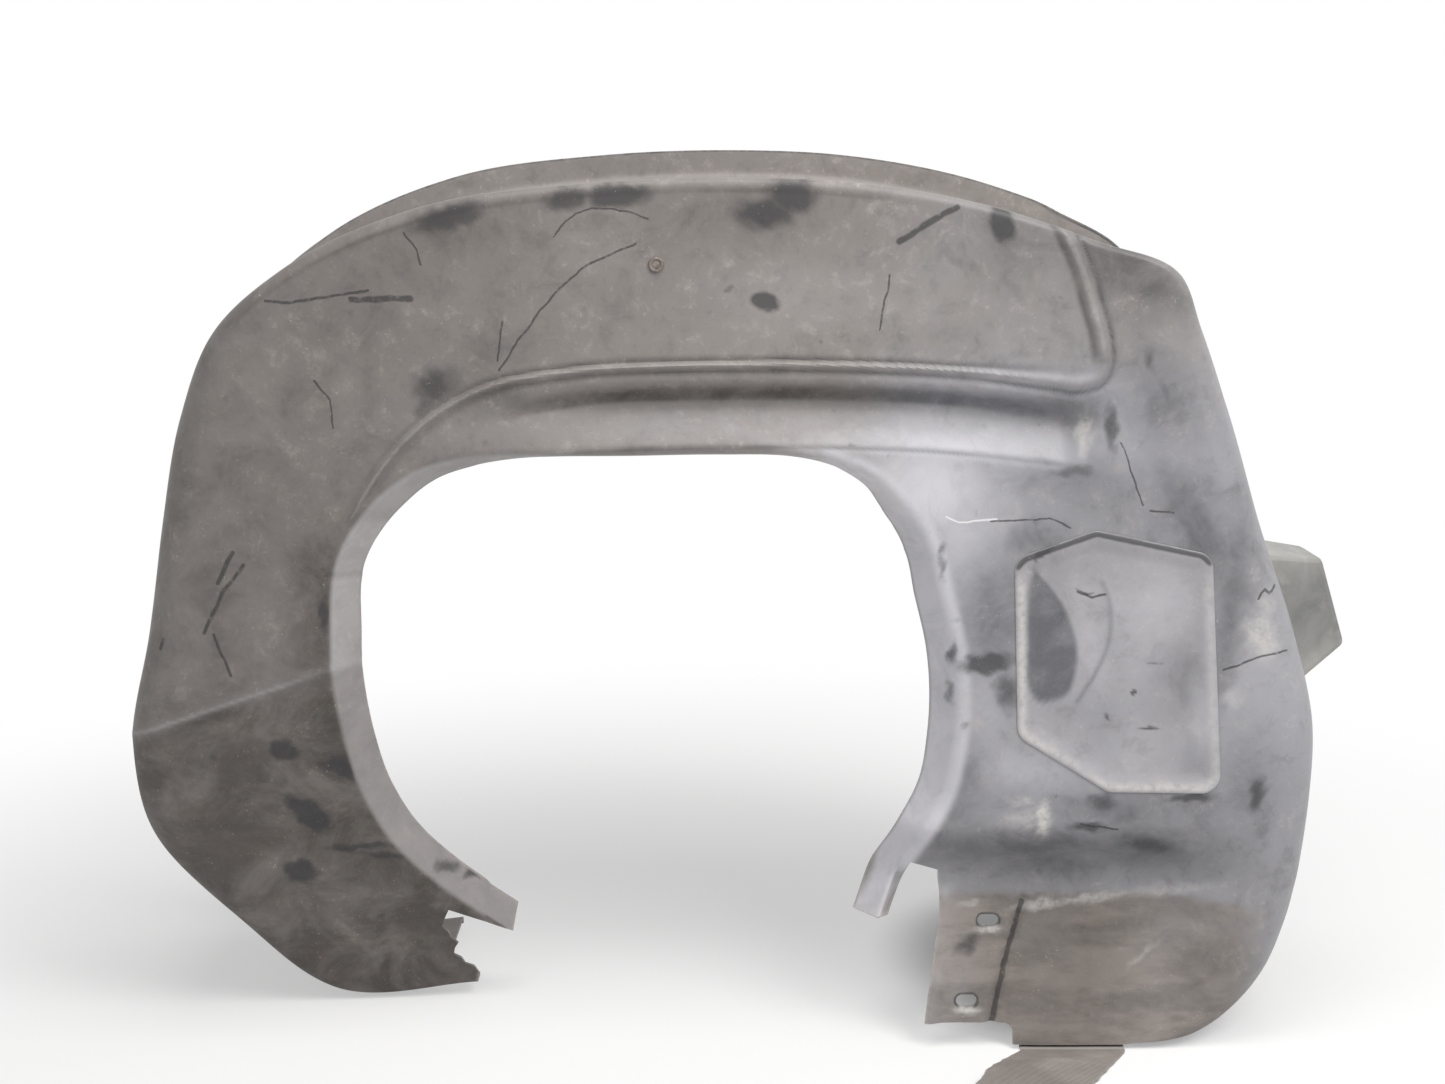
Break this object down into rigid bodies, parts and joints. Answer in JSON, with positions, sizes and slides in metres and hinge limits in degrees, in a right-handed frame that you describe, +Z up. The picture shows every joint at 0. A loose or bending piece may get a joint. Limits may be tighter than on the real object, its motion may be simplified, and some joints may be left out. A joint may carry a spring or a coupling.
{
  "type": "wheel arch liner",
  "caption": "Moulded wheel-arch liner: arched inner wall with an axle opening, folded tread band, outer lip with push retainers, snap-in access cover, side bracket and hinged rubber flap.",
  "frame": {"origin": "middle of the bounding box, on the surface that the liner stands on", "axes": "+X across the arch towards the side with the access cover, +Y from the inner wall back to the wheel side, +Z up"},
  "size_m": [0.8836, 0.3482, 0.6337],
  "materials": {
    "shell_plastic": "worn, dusty moulded surface",
    "cover_plastic": "worn, with a rubbed pale rim",
    "bracket_plastic": "dusty matt",
    "fastener_plastic": "black satin",
    "flap_rubber": "dusty matt",
    "screw_steel": "dull zinc"
  },
  "bodies": {
    "liner": {"liner_shell": "shell_plastic", "side_bracket": "bracket_plastic", "bracket_screw_upper": "screw_steel", "bracket_screw_lower": "screw_steel", "flap_fixing_strip": "flap_rubber", "hole_plug": "fastener_plastic", "lip_retainer_body_1": "fastener_plastic", "lip_retainer_body_2": "fastener_plastic", "lip_retainer_body_3": "fastener_plastic", "lip_retainer_body_4": "fastener_plastic", "lip_retainer_body_5": "fastener_plastic", "lip_retainer_body_6": "fastener_plastic"},
    "cover": {"access_cover": "cover_plastic"},
    "flap": {"lower_flap": "flap_rubber"},
    "pin_1": {"lip_retainer_pin_1": "fastener_plastic"},
    "pin_2": {"lip_retainer_pin_2": "fastener_plastic"},
    "pin_3": {"lip_retainer_pin_3": "fastener_plastic"},
    "pin_4": {"lip_retainer_pin_4": "fastener_plastic"},
    "pin_5": {"lip_retainer_pin_5": "fastener_plastic"},
    "pin_6": {"lip_retainer_pin_6": "fastener_plastic"}
  },
  "joints": [
    {"name": "cover_pull", "type": "slide", "parent": "liner", "child": "cover", "axis": [0, -1, 0], "range_m": [0, 0.06]},
    {"name": "flap_bend", "type": "hinge", "parent": "liner", "child": "flap", "pos_m": [0.2451, -0.07773, 0.0009], "axis": [1, 0, 0], "range_deg": [-75, 75], "stiffness_Nm_per_rad": 0.12},
    {"name": "pin_1_pull", "type": "slide", "parent": "liner", "child": "pin_1", "axis": [0, 1, 0], "range_m": [0, 0.009]},
    {"name": "pin_2_pull", "type": "slide", "parent": "liner", "child": "pin_2", "axis": [0, 1, 0], "range_m": [0, 0.009]},
    {"name": "pin_3_pull", "type": "slide", "parent": "liner", "child": "pin_3", "axis": [0, 1, 0], "range_m": [0, 0.009]},
    {"name": "pin_4_pull", "type": "slide", "parent": "liner", "child": "pin_4", "axis": [0, 1, 0], "range_m": [0, 0.009]},
    {"name": "pin_5_pull", "type": "slide", "parent": "liner", "child": "pin_5", "axis": [0, 1, 0], "range_m": [0, 0.009]},
    {"name": "pin_6_pull", "type": "slide", "parent": "liner", "child": "pin_6", "axis": [0, 1, 0], "range_m": [0, 0.009]}
  ]
}
